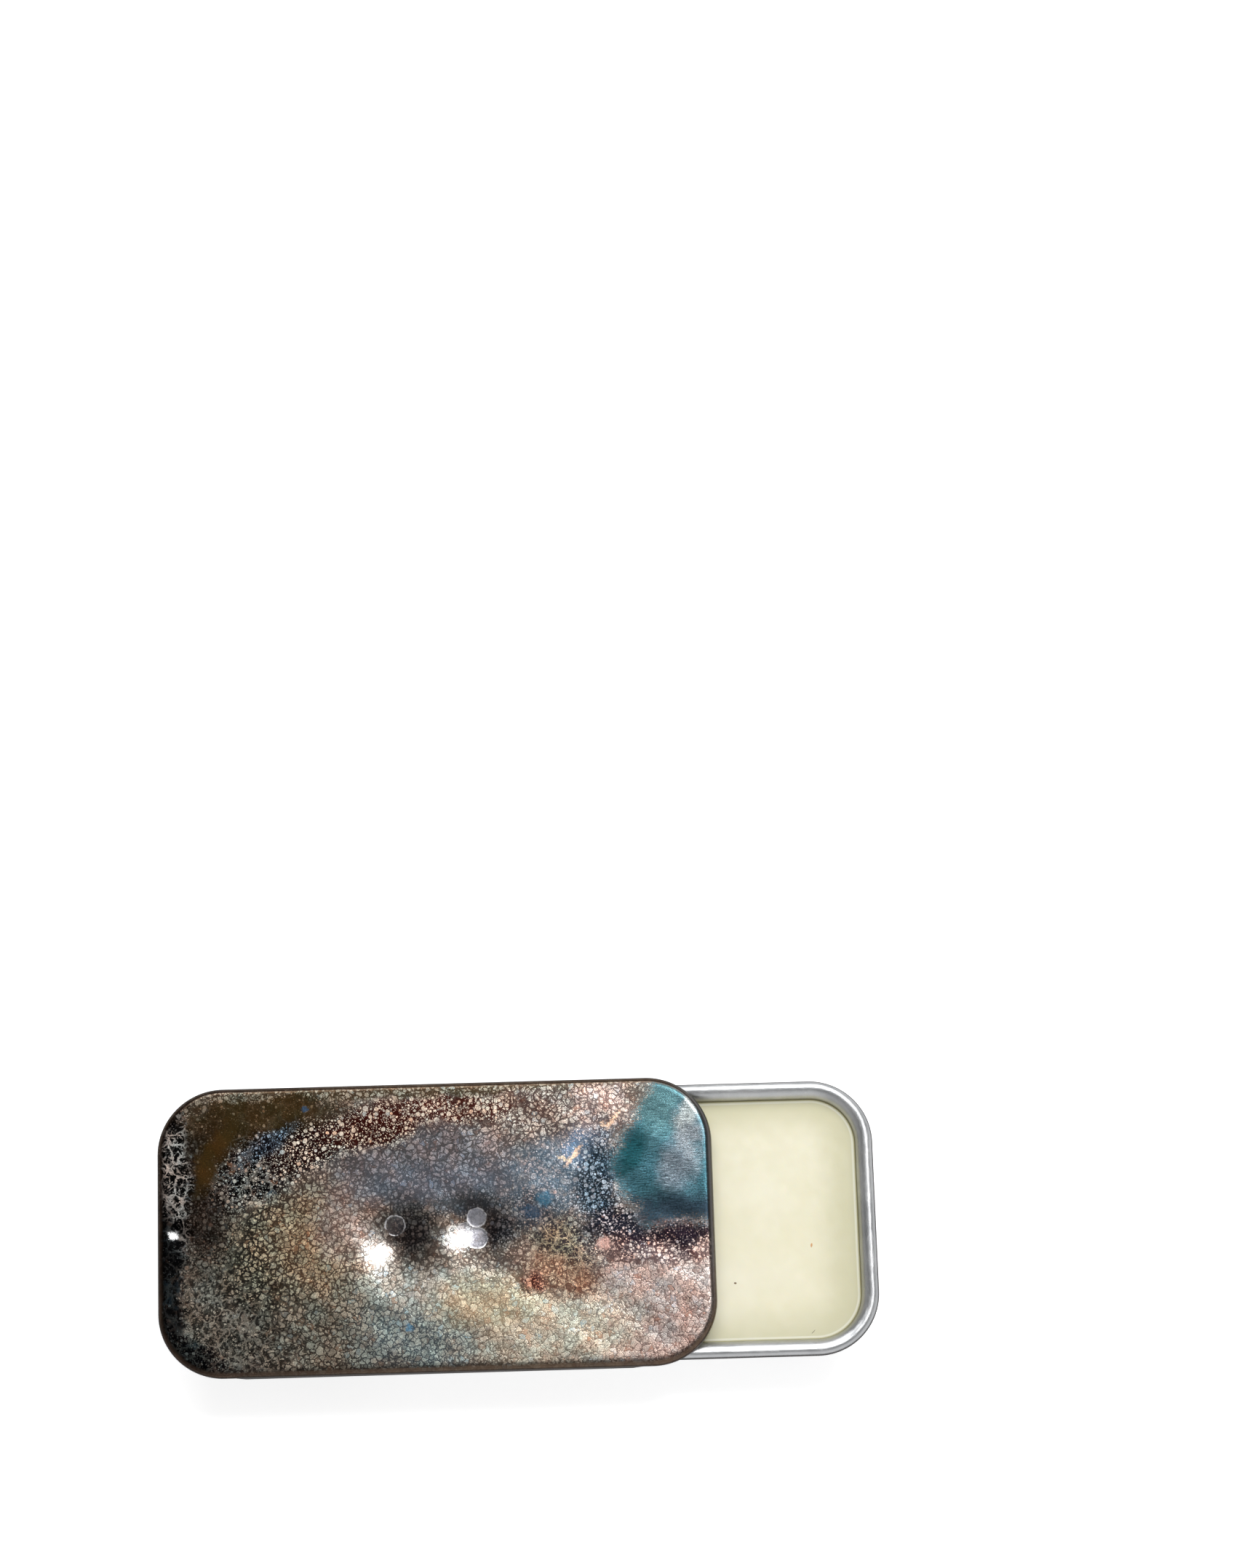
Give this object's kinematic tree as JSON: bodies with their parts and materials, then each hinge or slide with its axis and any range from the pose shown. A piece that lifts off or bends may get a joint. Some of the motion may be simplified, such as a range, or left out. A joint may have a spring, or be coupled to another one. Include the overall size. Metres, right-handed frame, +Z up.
{
  "type": "shoe polish tin",
  "caption": "Slide-top polish tin: a drawn pan with a curled rim, a heat-patinated lid that slides along it on hooked flanges, and pale polish inside.",
  "frame": {"origin": "centre of the pan's flat underside", "axes": "+X along the tin, towards the end that the open lid uncovers; +Y across it; +Z up, out of the pan's mouth"},
  "size_m": [0.0801, 0.0324, 0.0121],
  "materials": {
    "tinplate_satin": "satin tinplate with fine scratches",
    "polish": "smooth waxy, slightly translucent",
    "tinplate_patina": "heat-coloured and crazed patina",
    "tinplate_inside": "satin tinplate"
  },
  "bodies": {
    "pan": {"base_pan": "tinplate_satin", "polish_fill": "polish"},
    "lid": {"sliding_lid": "tinplate_patina", "stop_strip": "tinplate_inside"}
  },
  "joints": [
    {"name": "lid_slide", "type": "slide", "parent": "pan", "child": "lid", "axis": [1, 0, 0], "range_m": [0, 0.03768]}
  ]
}
